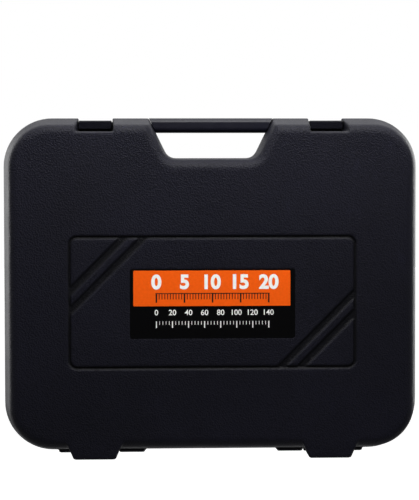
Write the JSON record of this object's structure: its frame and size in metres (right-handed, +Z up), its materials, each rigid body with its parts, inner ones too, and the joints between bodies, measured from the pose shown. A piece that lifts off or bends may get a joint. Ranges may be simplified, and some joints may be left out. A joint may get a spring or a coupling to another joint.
{
  "type": "radiator pressure tester kit",
  "caption": "Cooling-system pressure tester kit in a black carrying case: hinged lid, latches, recessed handle, hand pump with gauge, vacuum purge unit and cap adapters.",
  "frame": {"origin": "centre of the footprint, on the ground under the feet", "axes": "+X along the case, to the right seen from the front; +Y from the lid towards the base half; +Z up through the handle"},
  "size_m": [0.508, 0.114, 0.4122],
  "materials": {
    "case": "pebble-grained blow-moulded black",
    "handle": "smooth moulded black",
    "latch": "smooth moulded black",
    "steel": "zinc plated",
    "label": "printed vinyl, satin",
    "tray": "fine-grained moulded black",
    "rubber": "moulded",
    "pump_body": "gloss enamel",
    "alloy": "turned, clear anodised",
    "chrome": "polished",
    "brass": "turned",
    "gauge_case": "satin black",
    "dial": "printed white",
    "needle": "matt red",
    "lens": "clear",
    "lever": "vinyl-dipped red",
    "anodised_red": "anodised red",
    "anodised_blue": "anodised blue",
    "anodised_green": "anodised green",
    "anodised_gold": "anodised gold",
    "anodised_purple": "anodised purple",
    "anodised_black": "anodised black",
    "anodised_silver": "anodised silver",
    "anodised_orange": "anodised orange",
    "anodised_bronze": "anodised bronze",
    "anodised_teal": "anodised teal",
    "anodised_pink": "anodised pink",
    "anodised_grey": "anodised grey"
  },
  "bodies": {
    "base": {"base_shell": "case", "carry_handle": "handle", "handle_screws": "steel", "hinge_pins": "steel", "latch_pins": "steel", "tray": "tray", "spare_cones": "rubber", "pump_barrel": "pump_body", "pump_end_cap": "alloy", "pump_head": "alloy", "hose_barb": "brass", "pump_gauge_case": "gauge_case", "pump_gauge_dial": "dial", "pump_gauge_lens": "lens", "pump_gauge_bezel": "chrome", "pump_gauge_stem": "brass", "vacuum_gauge_case": "gauge_case", "vacuum_gauge_dial": "dial", "vacuum_gauge_lens": "lens", "vacuum_gauge_bezel": "chrome", "vacuum_gauge_stem": "brass", "venturi_body": "alloy", "air_muffler": "brass", "filler_cone": "rubber", "air_nipple": "steel", "adapter_gaskets": "rubber", "cap_adapter_red": "anodised_red", "cap_adapter_blue": "anodised_blue", "cap_adapter_green": "anodised_green", "cap_adapter_gold": "anodised_gold", "cap_adapter_purple": "anodised_purple", "cap_adapter_black": "anodised_black", "cap_adapter_silver": "anodised_silver", "cap_adapter_orange": "anodised_orange", "cap_adapter_bronze": "anodised_bronze", "cap_adapter_teal": "anodised_teal", "cap_adapter_pink": "anodised_pink", "cap_adapter_grey": "anodised_grey"},
    "lid": {"lid_shell": "case", "label_plate": "label"},
    "latch_left": {"latch_left": "latch"},
    "latch_right": {"latch_right": "latch"},
    "pump_rod": {"pump_rod": "chrome", "pump_piston": "alloy", "piston_seal": "rubber", "pump_grip": "handle"},
    "relief_button": {"relief_button": "brass"},
    "pump_needle": {"pump_gauge_needle": "needle"},
    "vacuum_needle": {"vacuum_gauge_needle": "needle"},
    "valve": {"valve_stem": "steel", "valve_lever": "lever"}
  },
  "joints": [
    {"name": "lid_hinge", "type": "hinge", "parent": "base", "child": "lid", "pos_m": [0, 0, 0.0037], "axis": [1, 0, 0], "range_deg": [0, 180]},
    {"name": "latch_left_pivot", "type": "hinge", "parent": "base", "child": "latch_left", "pos_m": [-0.141, 0.016, 0.4032], "axis": [-1, 0, 0], "range_deg": [0, 110]},
    {"name": "latch_right_pivot", "type": "hinge", "parent": "base", "child": "latch_right", "pos_m": [0.141, 0.016, 0.4032], "axis": [-1, 0, 0], "range_deg": [0, 110]},
    {"name": "pump_stroke", "type": "slide", "parent": "base", "child": "pump_rod", "axis": [-1, 0, 0], "range_m": [0, 0.11]},
    {"name": "relief_press", "type": "slide", "parent": "base", "child": "relief_button", "axis": [0, 0, -1], "range_m": [0, 0.003], "stiffness_N_per_m": 400},
    {"name": "pump_needle_spin", "type": "hinge", "parent": "base", "child": "pump_needle", "pos_m": [0.19, 0.006, 0.285], "axis": [0, 1, 0], "range_deg": [0, 270]},
    {"name": "vacuum_needle_spin", "type": "hinge", "parent": "base", "child": "vacuum_needle", "pos_m": [-0.15, 0.006, 0.173], "axis": [0, 1, 0], "range_deg": [0, 270]},
    {"name": "valve_turn", "type": "hinge", "parent": "base", "child": "valve", "pos_m": [-0.112, 0.005, 0.128], "axis": [0, -1, 0], "range_deg": [0, 90]}
  ]
}
